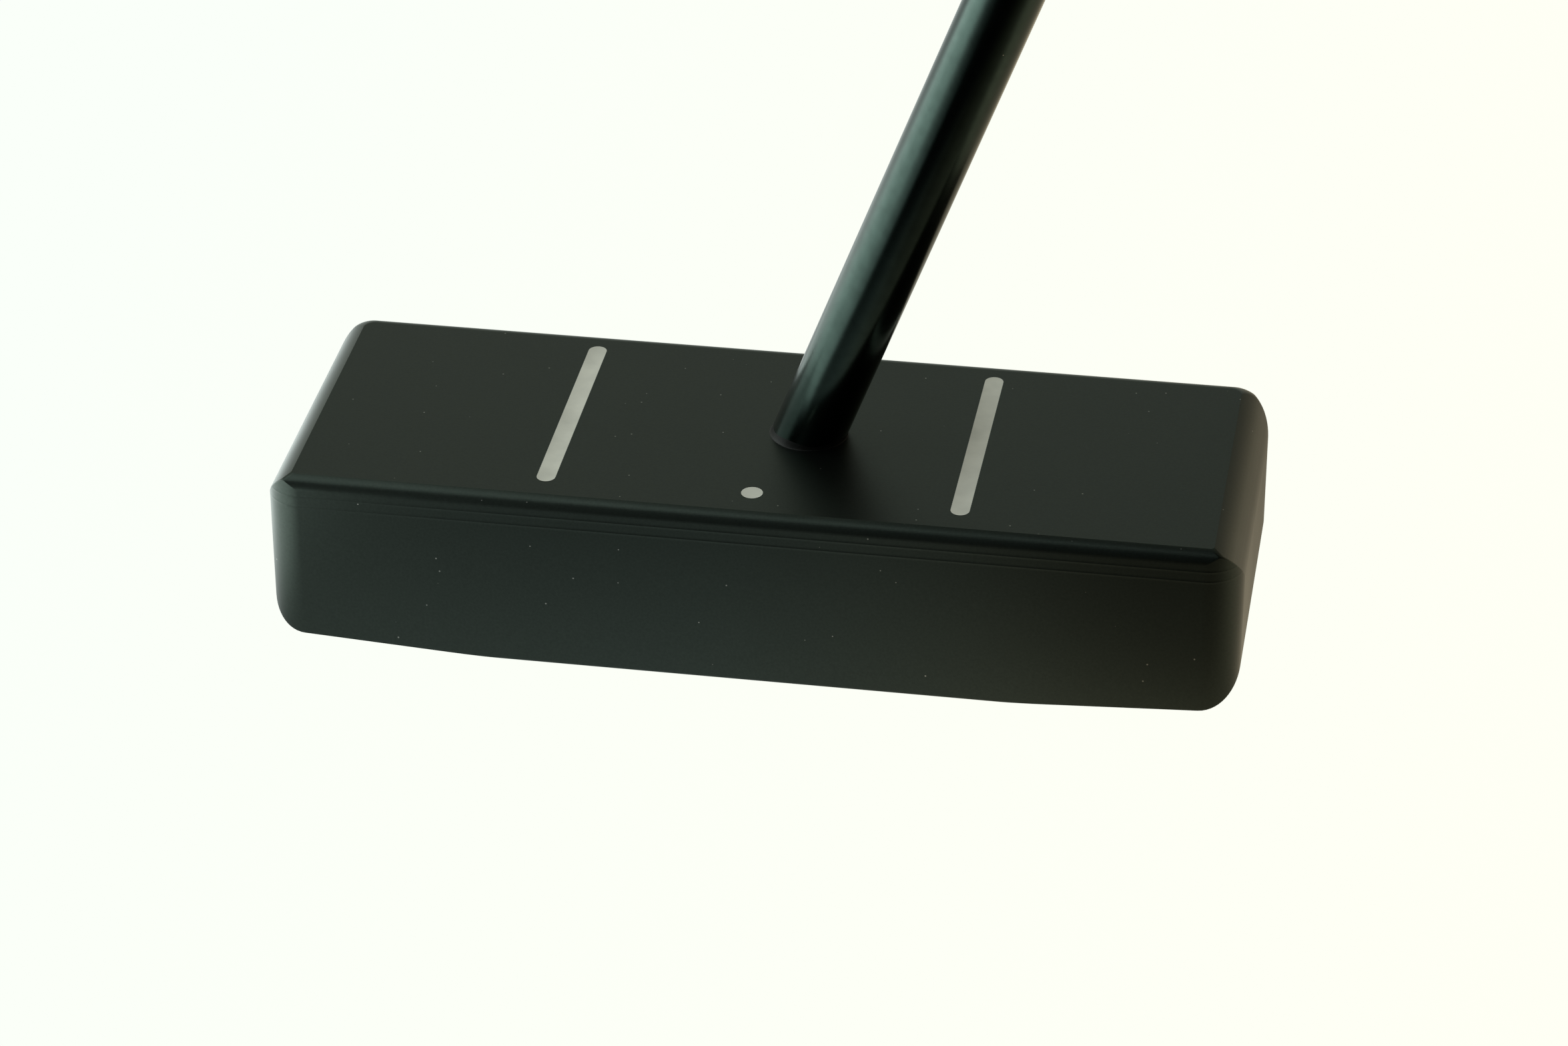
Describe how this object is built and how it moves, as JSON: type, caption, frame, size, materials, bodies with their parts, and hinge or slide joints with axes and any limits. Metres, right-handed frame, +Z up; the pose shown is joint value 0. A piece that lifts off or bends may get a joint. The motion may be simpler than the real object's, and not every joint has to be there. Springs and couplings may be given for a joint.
{
  "type": "mallet putter",
  "caption": "Centre-shafted block mallet putter: a rounded rectangular head with sight lines and a dot in its top, a stepped tubular shaft leaning to the heel, and a rubber grip.",
  "frame": {"origin": "on the ground under the middle of the head, where the flat of the sole rests, halfway from the face to the back along the top", "axes": "+X from toe to heel, which is the way the shaft leans; -Y the way the face looks; +Z up"},
  "size_m": [0.3819, 0.0445, 0.8112],
  "materials": {
    "black_anodised_aluminium": "bead-blasted, satin black anodised",
    "mark_fill": "satin pale grey fill, flush with the top",
    "black_coated_steel": "smooth semi-gloss black",
    "epoxy": "cured, glossy",
    "plug_plastic": "moulded",
    "adhesive_tape": "matt crepe paper tape",
    "grip_rubber": "matt black, fine moulded pattern"
  },
  "bodies": {
    "root": {"head_body": "black_anodised_aluminium", "toe_sight_line": "mark_fill", "heel_sight_line": "mark_fill", "sight_dot": "mark_fill", "shaft": "black_coated_steel", "shaft_bond": "epoxy", "shaft_tip_plug": "plug_plastic", "grip_tape": "adhesive_tape", "grip": "grip_rubber"}
  },
  "joints": []
}
